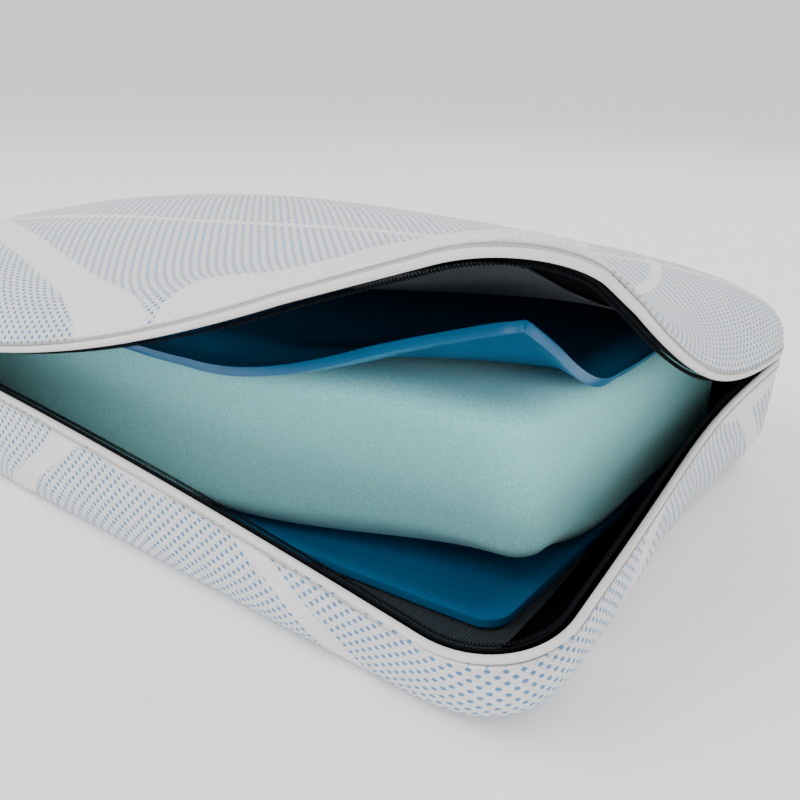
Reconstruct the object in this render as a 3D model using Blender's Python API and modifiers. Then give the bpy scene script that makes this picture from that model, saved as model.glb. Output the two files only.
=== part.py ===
# Memory foam pillow in a zip-off knitted cover, folded open at one corner to show its layers.
# Metres, +Z up. The long side runs along X, the open corner is at +X, -Y, and the base rests on Z = 0.

import math

import bmesh
import bpy
from mathutils import Matrix, Vector

MM = 0.001

# Cover, measured over the knit
LENGTH = 634 * MM
DEPTH = 405 * MM
SEAM_HEIGHT = 86 * MM         # middle of the closed seam above the floor
CROWN_HEIGHT = 77 * MM        # rise of the upper half above the seam
CORNER_RADIUS = 50 * MM
BASE_SINK = 2.5 * MM          # how far the floor presses the base flat

# Roundness of each half: powers of its crown and of its rim, and the root that squares its shoulder
UPPER_FORM = (2.4, 24, 4)
BASE_FORM = (16.0, 28, 5.6)

# The lid: the corner of the upper half, bent up about a line along the diagonal
LID_START = 50 * MM           # from the middle of the pillow to where the bend starts
LID_WIDTH = 180 * MM          # width of the bend
LID_ANGLE = math.radians(38)
LID_FLATTEN = 0.5             # share of its crown that the lid has lost at its tip

# The lower lip at the same corner
LIP_START = 30 * MM          # from the middle of the pillow to where the lip starts to fall
LIP_DROP = 33 * MM            # how far the lip has fallen at the corner
LIP_FLARE = 22 * MM           # how far it leans outwards there

# Thickness of each layer, and the clearance between layers
KNIT = 2.0 * MM
LINER = 1.0 * MM
MESH = 1.2 * MM
GEL = 5.0 * MM
LAYER_GAP = 1.2 * MM
PANEL_GAP = 2.2 * MM          # between the lining and the mesh panel, which is sewn on loosely
PAD_GAP = 2.5 * MM            # over and under each gel pad
CUT_GAP = 1.2 * MM            # between the parts of a sheet that bends
MESH_MARGIN = 32 * MM         # black lining left showing round the mesh panel
PANEL_RADIUS = 24 * MM        # least corner radius of a sheet
SHEET_CELLS = (20, 14)        # one grid for every sheet, so that their facets nest

# Seam: piping on each lip, with a concealed zip behind it
PIPING = 4.4 * MM
PIPING_GAP = 2.4 * MM         # between the two piping cords when closed
SEAT_GAP = 1.2 * MM           # between a cord and the sheet edge it is sewn to
COIL = 2.4 * MM
COIL_GAP = 1.6 * MM
TAPE = 0.7 * MM
TAPE_WIDTH = 11 * MM
TAPE_GAP = 1.2 * MM
TAPE_LEAN = 4.4 * MM          # how far its far edge leans into the pillow, at least
TAPE_ROOM = 2.3 * MM          # least height of the lining over that edge
ZIP_START = math.radians(215)  # the zip runs from this turn of the outline, round the open corner,
ZIP_END = math.radians(428)    # to this one

# Foam core
CORE_INSET_X = 36 * MM        # from the cover's outline
CORE_INSET_Y = 52 * MM
CORE_SHIFT = (-3 * MM, 4 * MM)  # pushed back from the open corner
CORE_BOW = 14 * MM            # how far the middle of its long sides bows out
CORE_CROWN = 24 * MM          # how far its middle stands above its top edges
CORE_ROUND = 17 * MM          # radius of every edge
CORE_SWELL = 2.2              # power of its crowned faces
CORE_LIFT = 20 * MM           # how far its free corner lifts off the lower pad
CORE_LIFTED = (165 * MM, 262 * MM)  # the lift grows between these distances from the middle
CORE_LEAN = 25 * MM           # how far the foot of its free corner is drawn back
CORE_FREE = (80 * MM, 230 * MM)  # between these distances from the middle the closed cover lets it go

# Gel pads: the upper one overhangs the core, droops over its edge and curls up at the open corner
GEL_MARGIN = (8 * MM, -6 * MM)  # how far the upper and the lower one reach past the core
GEL_DROOP = 9 * MM
GEL_RADIUS = 14 * MM
GEL_START = 186 * MM
GEL_WIDTH = 60 * MM
GEL_ANGLE = math.radians(42)

# Zip slider and its pull, at the closed end of the zip on the front
SLIDER_AHEAD = 16.84 * MM     # how far past the start of the opening the slider stands
SLIDER_LENGTH = 9 * MM
SLIDER_HEIGHT = 6.6 * MM
SLIDER_PLATE = 1.0 * MM
SLIDER_POST = 0.8 * MM
LUG = 1.4 * MM                # thickness of the lug that passes between the piping cords
LUG_WIDTH = 2.1 * MM
PIN = 1.2 * MM
PIN_LENGTH = 5 * MM
PIN_REACH = 3 * MM            # from the piping out to the pin
PIN_CLEARANCE = 0.3 * MM
PULL_WIDTH = 6 * MM
PULL_LENGTH = 22 * MM
PULL_PLATE = 1.2 * MM
EAR = 0.9 * MM

# Blank care label sewn into the back seam
LABEL_WIDTH = 28 * MM
LABEL_DROP = 38 * MM
LABEL_CLOTH = 0.5 * MM
LABEL_X = -150 * MM

HALF_L = LENGTH / 2
HALF_D = DEPTH / 2
DIAGONAL = math.hypot(HALF_L, HALF_D)
TOWARDS_CORNER = Vector((HALF_D, -HALF_L, 0)) / DIAGONAL
CORNER_REACH = 2 * HALF_L * HALF_D / DIAGONAL
LIP_OFFSET = PIPING_GAP / 2 + PIPING + SEAT_GAP
LID_NEUTRAL = SEAM_HEIGHT + CROWN_HEIGHT * 0.7
LINER_DEPTH = KNIT + LAYER_GAP
MESH_DEPTH = LINER_DEPTH + LINER + PANEL_GAP
GEL_DEPTH = MESH_DEPTH + MESH + PAD_GAP
CORE_DEPTH = GEL_DEPTH + GEL + PAD_GAP
CORE_HALF_L = HALF_L - CORE_INSET_X
CORE_HALF_D = HALF_D - CORE_INSET_Y
CORE_LOW = CORE_DEPTH
CORE_HIGH = SEAM_HEIGHT + CROWN_HEIGHT - CORE_DEPTH
PIPING_INSET = PIPING / 4
ZIP_INSET = LINER_DEPTH + LINER + 2 * LAYER_GAP + TAPE / 2
SLIDER_X = (LIP_START + SLIDER_AHEAD) * DIAGONAL / HALF_D - HALF_L


def clear_scene():
    for thing in list(bpy.data.objects):
        bpy.data.objects.remove(thing, do_unlink=True)


def collection(name, hidden=False):
    group = bpy.data.collections.new(name)
    bpy.context.scene.collection.children.link(group)
    group.hide_render = hidden
    return group


def material(name, colour, roughness, metallic=0.0):
    finish = bpy.data.materials.new(name)
    finish.use_nodes = True
    shader = finish.node_tree.nodes["Principled BSDF"]
    shader.inputs["Base Color"].default_value = (*colour, 1)
    shader.inputs["Roughness"].default_value = roughness
    shader.inputs["Metallic"].default_value = metallic
    return finish


def smooth(value):
    value = min(max(value, 0), 1)
    return value * value * (3 - 2 * value)


def toward_corner(x, y):
    return TOWARDS_CORNER.x * x + TOWARDS_CORNER.y * y


def gauge(x, y, half_l, half_d, radius):
    # 0 in the middle and 1 on the outline of a rounded rectangle, growing evenly along every ray
    x, y = abs(x), abs(y)
    flat = max(x / half_l, y / half_d)
    arc_x, arc_y = half_l - radius, half_d - radius
    if flat == 0 or x / flat <= arc_x or y / flat <= arc_y:
        return flat
    square = x * x + y * y
    across = x * arc_x + y * arc_y
    rest = arc_x * arc_x + arc_y * arc_y - radius * radius
    return square / (across + math.sqrt(across * across - square * rest))


def swell(x, y, depth, form):
    # 1 over the middle of the pillow and 0 on its outline, with a round shoulder between
    crown, edge, root = form
    half_l, half_d = HALF_L - depth, HALF_D - depth
    u, v = abs(x) / half_l, abs(y) / half_d
    rim = gauge(x, y, half_l, half_d, CORNER_RADIUS - depth)
    fall = max(0, 1 - u ** crown) * max(0, 1 - v ** crown) * max(0, 1 - rim ** edge)
    return fall ** (1 / root)


def bend(point, start, width, angle, neutral):
    # Rolls what lies beyond the start line round a cylinder, and carries on straight after it
    ahead = toward_corner(point.x, point.y) - start
    if ahead <= 0:
        return point
    turn = angle * min(ahead, width) / width
    radius = width / angle
    beyond = max(0, ahead - width)
    above = point.z - neutral
    along = radius * math.sin(turn) + beyond * math.cos(angle) - above * math.sin(turn)
    height = radius * (1 - math.cos(turn)) + beyond * math.sin(angle) + above * math.cos(turn)
    moved = point + TOWARDS_CORNER * (along - ahead)
    moved.z = neutral + height
    return moved


def bend_axis(start, width, angle, neutral):
    # The one line about which the straight part beyond a bend has turned
    at = TOWARDS_CORNER * (start + width / 2)
    at.z = neutral + width / angle - width / 2 / math.tan(angle / 2)
    return at


def fold_lid(point):
    return bend(point, LID_START, LID_WIDTH, LID_ANGLE, LID_NEUTRAL)


def upper_height(x, y, depth, flatten=0.0):
    # The upper half before its lid is bent, the given depth below the knit
    crown = (CROWN_HEIGHT - LIP_OFFSET) * (1 - flatten) - depth
    return SEAM_HEIGHT + LIP_OFFSET + crown * swell(x, y, depth, UPPER_FORM)


def lid_share(x, y):
    # 0 up to the start of the lid and 1 at its corner
    return smooth((toward_corner(x, y) - LID_START) / (CORNER_REACH - LID_START))


def upper_point(x, y, depth):
    return fold_lid(Vector((x, y, upper_height(x, y, depth, LID_FLATTEN * lid_share(x, y)))))


def lip_fall(x, y):
    ahead = (toward_corner(x, y) - LIP_START) / (CORNER_REACH - LIP_START)
    return min(max(ahead, 0), 1) ** 1.5


def base_point(x, y, depth):
    # A point of the lower half, the given depth above the knit
    fall = lip_fall(x, y)
    lip = SEAM_HEIGHT - LIP_OFFSET - LIP_DROP * fall
    rise = 1 - swell(x, y, depth, BASE_FORM)
    low = depth - BASE_SINK
    height = max(depth, low + (lip - low) * rise)
    lean = LIP_FLARE * fall * rise * rise
    return Vector((x, y, height)) + TOWARDS_CORNER * lean


def reach_share(x, y, span):
    near, far = span
    return smooth((toward_corner(x, y) - near) / (far - near))


def bow(x):
    # How much deeper the core is than at its ends
    u = min(abs(x - CORE_SHIFT[0]) / CORE_HALF_L, 1)
    return 1 + CORE_BOW / CORE_HALF_D * (1 - u * u)


def core_faces(x, y):
    # The heights of the underside and top of the core: the closed part of the cover squeezes it,
    # and the open corner lets it stand up
    u = min(abs(x - CORE_SHIFT[0]) / CORE_HALF_L, 1)
    v = min(abs(y - CORE_SHIFT[1]) / (CORE_HALF_D * bow(x)), 1)
    side = 1 - (1 - u ** CORE_SWELL) * (1 - v ** CORE_SWELL)
    lift = CORE_LIFT * reach_share(x, y, CORE_LIFTED)
    high = CORE_HIGH + (lift / 2 - CORE_CROWN) * side
    squeezed = min(upper_height(x, y, CORE_DEPTH), high)
    return CORE_LOW + lift, squeezed + (high - squeezed) * reach_share(x, y, CORE_FREE)


def droop(x, y):
    # How far the upper pad hangs down over the rounded edge of the core
    inside = min(CORE_HALF_L - abs(x - CORE_SHIFT[0]), CORE_HALF_D * bow(x) - abs(y - CORE_SHIFT[1]))
    return GEL_DROOP * smooth((CORE_ROUND - 4 * MM - inside) / (CORE_ROUND + 6 * MM))


def to_object(shape, name, group, finish):
    mesh = bpy.data.meshes.new(name)
    shape.to_mesh(mesh)
    shape.free()
    mesh.materials.append(finish)
    item = bpy.data.objects.new(name, mesh)
    group.objects.link(item)
    return item


def plan_grid(half_l, half_d, radius, shift=None):
    # A flat grid with the outline of a rounded rectangle, finer towards its edges
    shape = bmesh.new()
    bmesh.ops.create_grid(shape, x_segments=SHEET_CELLS[0], y_segments=SHEET_CELLS[1],
                          size=1)
    for vertex in shape.verts:
        u = math.sin(vertex.co.x * math.pi / 2)
        v = math.sin(vertex.co.y * math.pi / 2)
        ring = max(abs(u), abs(v))
        x, y = u * half_l, v * half_d
        scale = ring / gauge(x, y, half_l, half_d, radius) if ring > 0 else 0
        vertex.co = (x * scale, y * scale, 0)
        if shift:
            across = x * scale + shift[0]
            vertex.co = (across, y * scale * bow(across) + shift[1], 0)
    return shape


def cut_zone(shape, low, high):
    # Keeps the part of a flat sheet between two lines across the diagonal
    for reach, side in ((low, -1), (high, 1)):
        if reach is not None:
            geometry = shape.verts[:] + shape.edges[:] + shape.faces[:]
            bmesh.ops.bisect_plane(shape, geom=geometry, dist=1e-6, plane_co=TOWARDS_CORNER * reach,
                                   plane_no=TOWARDS_CORNER * side, clear_outer=True)


def sheet(name, group, finish, flat, place, thickness, side=1):
    # Lifts a flat grid to its outer surface, and gives it its thickness on the inner side
    for vertex in flat.verts:
        vertex.co = place(vertex.co.x, vertex.co.y)
    if side < 0:
        bmesh.ops.reverse_faces(flat, faces=flat.faces[:])
    item = to_object(flat, name, group, finish)
    wall = item.modifiers.new("thickness", "SOLIDIFY")
    wall.thickness = thickness
    wall.offset = -1
    return item


def bent_sheet(name, group, finish, size, place, thickness, start, width):
    # One sheet in three nodes: the part that lies still, its bend, and the part that swings
    low, high, gap = start, start + width, CUT_GAP / 2
    items = []
    for end, near, far in (("", None, low - gap), ("_bend", low + gap, high - gap), ("_lid", high + gap, None)):
        flat = plan_grid(*size)
        cut_zone(flat, near, far)
        items.append(sheet(name + end, group, finish, flat, place, thickness))
    return items[-1]


def layers(group, finishes):
    # Knit, lining and mesh panel, each in an upper and a lower half
    swinging = []
    for name, depth, thickness, margin in (
            ("cover", 0, KNIT, 0),
            ("lining", LINER_DEPTH, LINER, 0),
            ("mesh_panel", MESH_DEPTH, MESH, MESH_MARGIN)):
        inset = depth + margin
        size = (HALF_L - inset, HALF_D - inset, max(CORNER_RADIUS - inset, PANEL_RADIUS))
        swinging.append(bent_sheet(f"{name}_upper", group, finishes[name], size,
                                   lambda x, y, d=depth: upper_point(x, y, d),
                                   thickness, LID_START, LID_WIDTH))
        sheet(f"{name}_base", group, finishes[name], plan_grid(*size),
              lambda x, y, d=depth: base_point(x, y, d), thickness, side=-1)
    return swinging


def gel_pads(group, finish):
    upper, lower = [(CORE_HALF_L + min(margin, 2 * MM), CORE_HALF_D + margin, GEL_RADIUS, CORE_SHIFT)
                    for margin in GEL_MARGIN]

    def on_core(x, y):
        flat = Vector((x, y, core_faces(x, y)[1] + PAD_GAP + GEL - droop(x, y)))
        return bend(flat, GEL_START, GEL_WIDTH, GEL_ANGLE, CORE_HIGH)

    sheet("gel_pad_base", group, finish, plan_grid(*lower),
          lambda x, y: Vector((x, y, base_point(x, y, GEL_DEPTH).z)), GEL, side=-1)
    return bent_sheet("gel_pad_upper", group, finish, upper, on_core, GEL, GEL_START, GEL_WIDTH)


def foam_core(group, finish):
    shape = bmesh.new()
    bmesh.ops.create_cube(shape, size=2)
    bmesh.ops.subdivide_edges(shape, edges=shape.edges[:], cuts=11, use_grid_fill=True)
    half = Vector((CORE_HALF_L, CORE_HALF_D, (CORE_HIGH - CORE_LOW) / 2))
    for vertex in shape.verts:
        spread = Vector([math.sin(part * math.pi / 2) * size for part, size in zip(vertex.co, half)])
        held = Vector([min(max(part, CORE_ROUND - size), size - CORE_ROUND)
                       for part, size in zip(spread, half)])
        point = held + (spread - held).normalized() * CORE_ROUND + Vector((*CORE_SHIFT, 0))
        point.y = CORE_SHIFT[1] + (point.y - CORE_SHIFT[1]) * bow(point.x)
        low, high = core_faces(point.x, point.y)
        above = (point.z / half.z + 1) / 2
        lean = CORE_LEAN * reach_share(point.x, point.y, CORE_LIFTED)
        point.y += lean * (1 - above) * (1 - point.y / half.y) / 2
        point.z = low + above * (high - low)
        vertex.co = point
    return to_object(shape, "foam_core", group, finish)


def outline_point(angle, inset):
    half_l, half_d = HALF_L - inset, HALF_D - inset
    x, y = math.cos(angle) * half_l, math.sin(angle) * half_d
    ring = gauge(x, y, half_l, half_d, CORNER_RADIUS - inset)
    return x / ring, y / ring


def crossing(reach, inset, side):
    # The turn at which the outline crosses a line across the diagonal: -1 is in front, 1 on the right
    near, far = math.radians(315), math.radians(315 + 90 * side)
    for _ in range(40):
        middle = (near + far) / 2
        if toward_corner(*outline_point(middle, inset)) > reach:
            near = middle
        else:
            far = middle
    return near


def runs(inset, start, stop):
    # The stretches of the upper lip that the two ends of its bend divide it into
    low, high, gap = LID_START, LID_START + LID_WIDTH, CUT_GAP / 2
    return {
        "left": (start, crossing(low - gap, inset, -1)),
        "front": (crossing(low + gap, inset, -1), crossing(high - gap, inset, -1)),
        "lid": (crossing(high + gap, inset, -1), crossing(high + gap, inset, 1)),
        "right": (crossing(high - gap, inset, 1), crossing(low + gap, inset, 1)),
        "back": (crossing(low - gap, inset, 1), stop),
    }


def upper_rim(angle, inset, above):
    x, y = outline_point(angle, inset)
    return fold_lid(Vector((x, y, SEAM_HEIGHT + above)))


def lower_rim(angle, inset, above):
    x, y = outline_point(angle, inset)
    fall = lip_fall(x, y)
    lip = SEAM_HEIGHT - LIP_OFFSET - LIP_DROP * fall
    height = SEAM_HEIGHT + above - LIP_DROP * fall
    rise = min(1, height / lip)
    return Vector((x, y, height)) + TOWARDS_CORNER * (LIP_FLARE * fall * rise * rise)


def path(place, inset, above, start, stop, turn=math.radians(7), longest=55 * MM):
    # Points along a rim, close together only where it turns
    count = max(3, round(math.degrees(stop - start) / 0.75))
    fine = [place(start + (stop - start) * step / count, inset, above) for step in range(count + 1)]
    kept, heading = [fine[0]], fine[1] - fine[0]
    for point, after in zip(fine[1:-1], fine[2:]):
        if heading.angle(after - point) > turn or (point - kept[-1]).length > longest:
            kept.append(point)
            heading = after - point
    return kept + [fine[-1]]


def cord(name, group, finish, points, width, closed=False):
    curve = bpy.data.curves.new(name, "CURVE")
    curve.dimensions = "3D"
    curve.bevel_depth = width / 2
    curve.bevel_resolution = 2
    curve.use_fill_caps = not closed
    spline = curve.splines.new("POLY")
    spline.points.add(len(points) - 1)
    for knot, point in zip(spline.points, points):
        knot.co = (*point, 1)
    spline.use_cyclic_u = closed
    curve.materials.append(finish)
    item = bpy.data.objects.new(name, curve)
    group.objects.link(item)
    return item


def tape_lean(angle, far):
    # Leans further in wherever the shoulder of the lining is too low for the tape
    lean = TAPE_LEAN
    for _ in range(400):
        x, y = outline_point(angle, ZIP_INSET + lean)
        flat = LID_FLATTEN * lid_share(x, y)
        if upper_height(x, y, LINER_DEPTH + LINER, flat) >= SEAM_HEIGHT + far + TAPE_ROOM:
            break
        lean += TAPE / 20
    return lean


def tape(name, group, finish, place, near, far, start, stop):
    # A flat tape standing on edge behind a lip
    steps = max(2, round(math.degrees(stop - start) / 2.5))
    shape = bmesh.new()
    bmesh.ops.create_grid(shape, x_segments=steps, y_segments=1, size=1)
    for vertex in shape.verts:
        angle = start + (stop - start) * (vertex.co.x + 1) / 2
        across = (vertex.co.y + 1) / 2
        inset = ZIP_INSET + tape_lean(angle, far) * across
        vertex.co = place(angle, inset, near + (far - near) * across)
    item = to_object(shape, name, group, finish)
    wall = item.modifiers.new("thickness", "SOLIDIFY")
    wall.thickness = TAPE
    wall.offset = 0
    return item


def piping(group, finish):
    rise = PIPING_GAP / 2 + PIPING / 2
    ring = path(lower_rim, PIPING_INSET, -rise, 0, 2 * math.pi)
    cord("piping_base", group, finish, ring[:-1], PIPING, closed=True)
    stretches = runs(PIPING_INSET, 0, 0)
    stretches["back"] = (stretches["back"][0], stretches.pop("left")[1] + 2 * math.pi)
    return [cord(f"piping_upper_{name}", group, finish,
                 path(upper_rim, PIPING_INSET, rise, start, stop), PIPING)
            for name, (start, stop) in stretches.items()]


def zip_halves(group, finish):
    coil = COIL_GAP / 2 + COIL / 2
    low = COIL_GAP / 2 + COIL + TAPE_GAP
    high = low + TAPE_WIDTH
    cord("zip_coil_base", group, finish, path(lower_rim, ZIP_INSET, -coil, ZIP_START, ZIP_END), COIL)
    tape("zip_tape_base", group, finish, lower_rim, -low, -high, ZIP_START, ZIP_END)
    items = []
    for name, (start, stop) in runs(ZIP_INSET, ZIP_START, ZIP_END).items():
        items.append(cord(f"zip_coil_upper_{name}", group, finish,
                          path(upper_rim, ZIP_INSET, coil, start, stop), COIL))
        items.append(tape(f"zip_tape_upper_{name}", group, finish, upper_rim, low, high, start, stop))
    return items


def box(name, group, finish, size, middle):
    shape = bmesh.new()
    bmesh.ops.create_cube(shape, size=1)
    for vertex in shape.verts:
        vertex.co = Vector(middle) + Vector([part * side for part, side in zip(vertex.co, size)])
    return to_object(shape, name, group, finish)


def bar(name, group, finish, width, length, middle):
    # A round bar along X
    shape = bmesh.new()
    turn = Matrix.Translation(middle) @ Matrix.Rotation(math.pi / 2, 4, "Y")
    bmesh.ops.create_cone(shape, cap_ends=True, segments=20, radius1=width / 2, radius2=width / 2,
                          depth=length, matrix=turn)
    return to_object(shape, name, group, finish)


def combine(item, tool, operation):
    change = item.modifiers.new(tool.name, "BOOLEAN")
    change.operation = operation
    change.object = tool
    change.solver = "EXACT"
    tool.display_type = "WIRE"


def zip_slider(group, cutters, finish):
    # Two plates either side of the coils, a post between them, and a lug with a pin out past the piping
    coil_y = ZIP_INSET - HALF_D
    plate_off = COIL / 2 + COIL_GAP / 4 + SLIDER_PLATE / 2
    front, back = coil_y - plate_off, coil_y + plate_off
    pin_y = PIPING_INSET - PIPING / 2 - HALF_D - PIN_REACH
    plate = (SLIDER_LENGTH, SLIDER_PLATE, SLIDER_HEIGHT)
    slider = box("zip_slider", group, finish, plate, (SLIDER_X, front, SEAM_HEIGHT))
    pieces = (
        box("slider_back", cutters, finish, plate, (SLIDER_X, back, SEAM_HEIGHT)),
        box("slider_post", cutters, finish, (SLIDER_LENGTH / 3, back - front, SLIDER_POST),
            (SLIDER_X, (front + back) / 2, SEAM_HEIGHT)),
        box("slider_lug", cutters, finish, (LUG_WIDTH, front - pin_y, LUG),
            (SLIDER_X, (front + pin_y) / 2, SEAM_HEIGHT)),
        bar("slider_pin", cutters, finish, PIN, PIN_LENGTH, (SLIDER_X, pin_y, SEAM_HEIGHT)),
    )
    for piece in pieces:
        combine(slider, piece, "UNION")

    pull_low = LUG + PIN / 2
    pull = box("zip_pull", group, finish, (PULL_WIDTH, PULL_PLATE, PULL_LENGTH),
               (SLIDER_X, pin_y, SEAM_HEIGHT - pull_low - PULL_LENGTH / 2))
    ear_x = LUG_WIDTH / 2 + PIN_CLEARANCE + EAR / 2
    ear_top = PIN / 2 + PIN_CLEARANCE + EAR
    ear_height = ear_top + pull_low + PULL_PLATE
    for name, side in (("ear_left", -1), ("ear_right", 1)):
        ear = box(name, cutters, finish, (EAR, ear_top * 2, ear_height),
                  (SLIDER_X + side * ear_x, pin_y, SEAM_HEIGHT + ear_top - ear_height / 2))
        combine(pull, ear, "UNION")
    hole = bar("ear_hole", cutters, finish, PIN + 2 * PIN_CLEARANCE, PULL_WIDTH * 2,
               (SLIDER_X, pin_y, SEAM_HEIGHT))
    combine(pull, hole, "DIFFERENCE")
    return slider, pull, Vector((SLIDER_X, pin_y, SEAM_HEIGHT))


def care_label(group, finish):
    # A folded ribbon that comes out between the piping cords and hangs down the back
    inner, outer = HALF_D - KNIT, HALF_D + PIPING / 2 + 2 * LABEL_CLOTH
    reach = outer - inner
    shape = bmesh.new()
    bmesh.ops.create_grid(shape, x_segments=2, y_segments=14, size=1)
    total = reach + LABEL_DROP
    for vertex in shape.verts:
        along = (vertex.co.y + 1) / 2 * total
        past = max(0, along - reach)
        turn = min(past / (3 * MM), math.pi / 2)
        bow = 3 * MM
        down = bow * (1 - math.cos(turn)) + max(0, past - bow * math.pi / 2)
        out = inner + min(along, reach) + bow * math.sin(turn)
        vertex.co = (LABEL_X + vertex.co.x * LABEL_WIDTH / 2, out, SEAM_HEIGHT - down)
    item = to_object(shape, "care_label", group, finish)
    wall = item.modifiers.new("thickness", "SOLIDIFY")
    wall.thickness = LABEL_CLOTH
    wall.offset = 0
    return item


def hang_on(name, group, at, items):
    # An empty on the joint's axis, which the pieces turn about without leaving their places
    pivot = bpy.data.objects.new(name, None)
    pivot.location = at
    group.objects.link(pivot)
    for item in items:
        item.parent = pivot
        item.matrix_parent_inverse = Matrix.Translation(-at)


def main():
    clear_scene()
    pillow = collection("memory_foam_pillow")
    cutters = collection("cutters", hidden=True)
    finishes = {
        "cover": material("knit", (0.80, 0.81, 0.82), 0.85),
        "lining": material("lining", (0.012, 0.013, 0.018), 0.8),
        "mesh_panel": material("spacer_mesh", (0.03, 0.035, 0.04), 0.7),
    }
    lid = layers(pillow, finishes)
    foam_core(pillow, material("foam", (0.33, 0.62, 0.62), 0.9))
    gel_corner = gel_pads(pillow, material("gel", (0.01, 0.13, 0.24), 0.2))
    zip_black = material("zip", (0.015, 0.015, 0.02), 0.5)
    cords = piping(pillow, material("piping", (0.66, 0.65, 0.62), 0.8)) + zip_halves(pillow, zip_black)
    lid += [item for item in cords if item.name.endswith("_lid")]
    metal = material("zip_metal", (0.25, 0.25, 0.27), 0.35, metallic=1.0)
    slider, pull, pin = zip_slider(pillow, cutters, metal)
    care_label(pillow, material("label", (0.85, 0.85, 0.83), 0.8))
    hang_on("lid_axis", pillow, bend_axis(LID_START, LID_WIDTH, LID_ANGLE, LID_NEUTRAL), lid)
    hang_on("gel_axis", pillow, bend_axis(GEL_START, GEL_WIDTH, GEL_ANGLE, CORE_HIGH), [gel_corner])
    hang_on("pull_axis", pillow, pin, [pull])


main()
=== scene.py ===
from functools import partial
import math
import bmesh
import bpy
from mathutils import Matrix, Vector, noise


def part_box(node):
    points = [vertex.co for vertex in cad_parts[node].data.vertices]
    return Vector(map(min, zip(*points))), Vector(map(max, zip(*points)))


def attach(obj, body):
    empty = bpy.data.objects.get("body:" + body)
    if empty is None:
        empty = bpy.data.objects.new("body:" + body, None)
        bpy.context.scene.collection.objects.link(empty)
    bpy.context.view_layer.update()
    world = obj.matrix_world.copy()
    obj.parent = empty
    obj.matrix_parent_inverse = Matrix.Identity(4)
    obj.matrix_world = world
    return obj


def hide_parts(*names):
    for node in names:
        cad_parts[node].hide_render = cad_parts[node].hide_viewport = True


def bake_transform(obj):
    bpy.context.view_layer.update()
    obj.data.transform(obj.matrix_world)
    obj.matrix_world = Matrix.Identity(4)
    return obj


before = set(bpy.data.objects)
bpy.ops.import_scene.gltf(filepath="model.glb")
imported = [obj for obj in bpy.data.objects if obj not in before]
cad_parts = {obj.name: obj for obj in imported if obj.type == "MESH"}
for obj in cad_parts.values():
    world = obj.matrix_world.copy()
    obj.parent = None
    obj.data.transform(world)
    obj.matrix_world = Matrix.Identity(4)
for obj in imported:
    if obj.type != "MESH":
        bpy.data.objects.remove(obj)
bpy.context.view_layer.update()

print("frame loaded")


def dye(hexText):
    # Linear colour of an sRGB hex
    parts = [int(hexText[at:at + 2], 16) / 255 for at in (0, 2, 4)]
    return (*(p / 12.92 if p <= 0.04045 else ((p + 0.055) / 1.055) ** 2.4 for p in parts), 1)


# The pillow's overall form, in metres
pillow = {
    "halfLength": 0.317, "halfDepth": 0.2025, "cornerRadius": 0.050,
    "seamHeight": 0.086, "crownHeight": 0.077, "lipOffset": 0.0056,
    "upperCrown": 2.1, "upperEdge": 24, "upperRoot": 4.0,
    "baseCrown": 60, "baseEdge": 30, "baseRoot": 5.0, "baseSink": 0.0025,
    "lidStart": 0.024, "lidWidth": 0.250, "lidAngle": math.radians(40.0), "lidFlatten": 0.56,
    "lidNeutral": 0.7, "lipStart": -0.030, "lipDrop": 0.033, "lipFlare": 0.021, "lipPower": 2,
    "waist": 0.014, "waistMiddle": 0.045, "waistSpan": 0.110, "waistFrom": 0.55,
    "upperWaist": 0.35, "lowerWaist": 0.45,
}
# How loose the cloth lies: the top's waves as turns, seed and height, then the wall's belly and puckers
looseness = {
    "waves": ((9, 0.4, 0.0016), (24, 2.0, 0.0005)), "rimFade": 0.86, "wallHeight": 0.055, "wallFrom": 0.9,
    "wallFade": 0.07, "belly": 0.0018, "cornerBelly": 0.0065, "pucker": 0.0036,
    "coarseTurns": 5, "coarseSeed": 3.1, "fineTurns": 13, "fineRise": 22, "fineShare": 0.6,
}
layerDepth = {"lining": 0.0032, "mesh": 0.0064, "gel": 0.0098, "core": 0.0173}
diagonal = math.hypot(pillow["halfLength"], pillow["halfDepth"])
towardsCorner = Vector((pillow["halfDepth"], -pillow["halfLength"], 0)) / diagonal
cornerReach = 2 * pillow["halfLength"] * pillow["halfDepth"] / diagonal
lidNeutral = pillow["seamHeight"] + pillow["crownHeight"] * pillow["lidNeutral"]


def smooth(value):
    value = min(max(value, 0), 1)
    return value * value * (3 - 2 * value)


def reachOf(x, y):
    return towardsCorner.x * x + towardsCorner.y * y


def gauge(x, y, halfL, halfD, radius):
    # 0 in the middle and 1 on the rounded outline
    x, y = abs(x), abs(y)
    flat = max(x / halfL, y / halfD)
    arcX, arcY = halfL - radius, halfD - radius
    if flat == 0 or x / flat <= arcX or y / flat <= arcY:
        return flat
    square = x * x + y * y
    across = x * arcX + y * arcY
    rest = arcX * arcX + arcY * arcY - radius * radius
    return square / (across + math.sqrt(max(across * across - square * rest, 0)))


def swell(x, y, depth, crown, edge, root):
    halfL, halfD = pillow["halfLength"] - depth, pillow["halfDepth"] - depth
    u, v = min(abs(x) / halfL, 1), min(abs(y) / halfD, 1)
    rim = gauge(x, y, halfL, halfD, pillow["cornerRadius"] - depth)
    rim = 1 if rim > 0.9999 else rim  # so that the lip is even all round
    return ((1 - u ** crown) * (1 - v ** crown) * (1 - rim ** edge)) ** (1 / root)


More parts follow.
